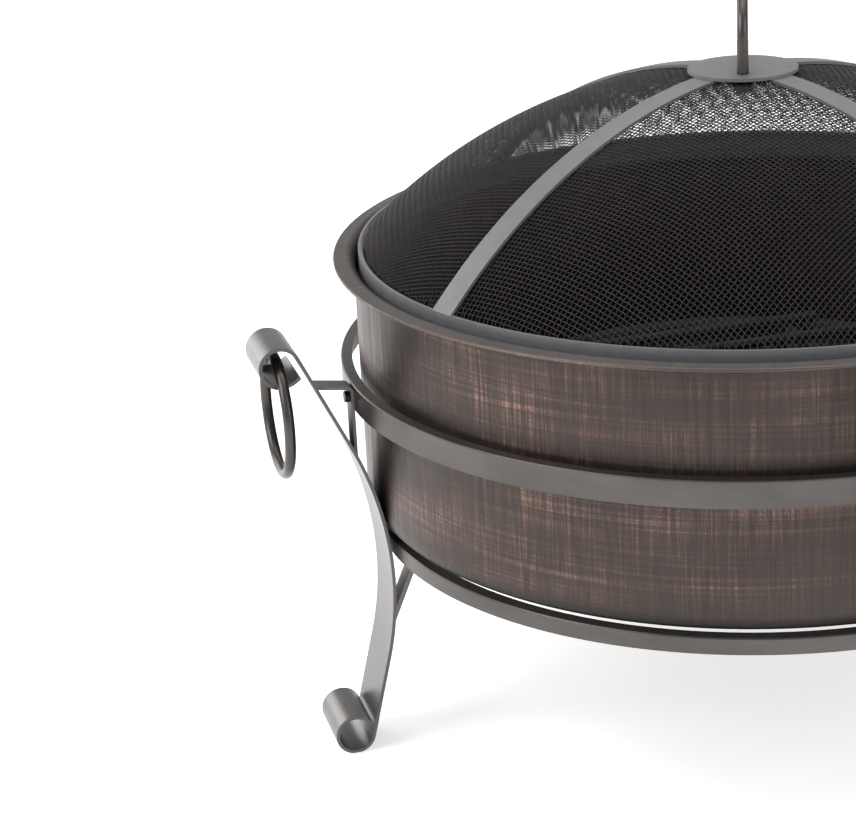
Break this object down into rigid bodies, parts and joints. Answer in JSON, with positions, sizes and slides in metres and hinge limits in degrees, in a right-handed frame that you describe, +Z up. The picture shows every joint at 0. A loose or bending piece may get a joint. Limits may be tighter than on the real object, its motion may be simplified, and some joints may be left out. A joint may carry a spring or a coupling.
{
  "type": "fire pit with grate",
  "caption": "Round bowl fire pit in a scrolled strap-leg stand with angle hoops, lift-out log grate, domed mesh spark screen with lifting loop, and swinging ring handles.",
  "frame": {"origin": "on the floor under the middle of the bowl", "axes": "+Z up; one leg points along each of -X, -Y, +X and +Y; the ring handles hang on the -X and +X legs"},
  "size_m": [0.7522, 0.7522, 0.5422],
  "materials": {
    "bowl_bronze": "dark bronze with coppery brush strokes, semi-gloss",
    "stand_metal": "grey-brown, semi-gloss",
    "leg_metal": "grey, satin",
    "fastener": "black, satin",
    "handle_metal": "dark, semi-gloss",
    "screen_metal": "mid grey, matte",
    "screen_wire": "dark woven wire, matte",
    "grate_steel": "black, matte"
  },
  "bodies": {
    "stand": {"mid_ring": "stand_metal", "lower_ring": "stand_metal", "leg_left": "leg_metal", "leg_front": "leg_metal", "leg_right": "leg_metal", "leg_back": "leg_metal", "upper_tie_left": "stand_metal", "upper_tie_front": "stand_metal", "upper_tie_right": "stand_metal", "upper_tie_back": "stand_metal", "lower_tie_left": "stand_metal", "lower_tie_front": "stand_metal", "lower_tie_right": "stand_metal", "lower_tie_back": "stand_metal", "upper_bolts": "fastener", "upper_nuts": "fastener", "lower_screws": "fastener"},
    "bowl": {"bowl": "bowl_bronze", "screen_seat": "bowl_bronze"},
    "screen": {"screen_hoop": "screen_metal", "screen_rib_1": "screen_metal", "screen_rib_2": "screen_metal", "screen_rib_3": "screen_metal", "screen_rib_4": "screen_metal", "screen_mesh": "screen_wire", "screen_cap": "screen_metal", "screen_loop": "handle_metal", "screen_nuts": "fastener"},
    "grate": {"grate_rim": "grate_steel", "grate_crossbars": "grate_steel", "grate_bars": "grate_steel", "grate_feet": "grate_steel"},
    "ring_left": {"handle_ring_left": "handle_metal"},
    "ring_right": {"handle_ring_right": "handle_metal"}
  },
  "joints": [
    {"name": "bowl_lift", "type": "slide", "parent": "stand", "child": "bowl", "axis": [0, 0, 1], "range_m": [0, 0.25]},
    {"name": "screen_lift", "type": "slide", "parent": "bowl", "child": "screen", "axis": [0, 0, 1], "range_m": [0, 0.3]},
    {"name": "grate_lift", "type": "slide", "parent": "bowl", "child": "grate", "axis": [0, 0, -1], "range_m": [-0.15, 0]},
    {"name": "ring_left_swing", "type": "hinge", "parent": "stand", "child": "ring_left", "pos_m": [-0.36065, 0, 0.3125], "axis": [0, 1, 0], "range_deg": [-30, 180]},
    {"name": "ring_right_swing", "type": "hinge", "parent": "stand", "child": "ring_right", "pos_m": [0.36065, 0, 0.3125], "axis": [0, -1, 0], "range_deg": [-30, 180]}
  ]
}
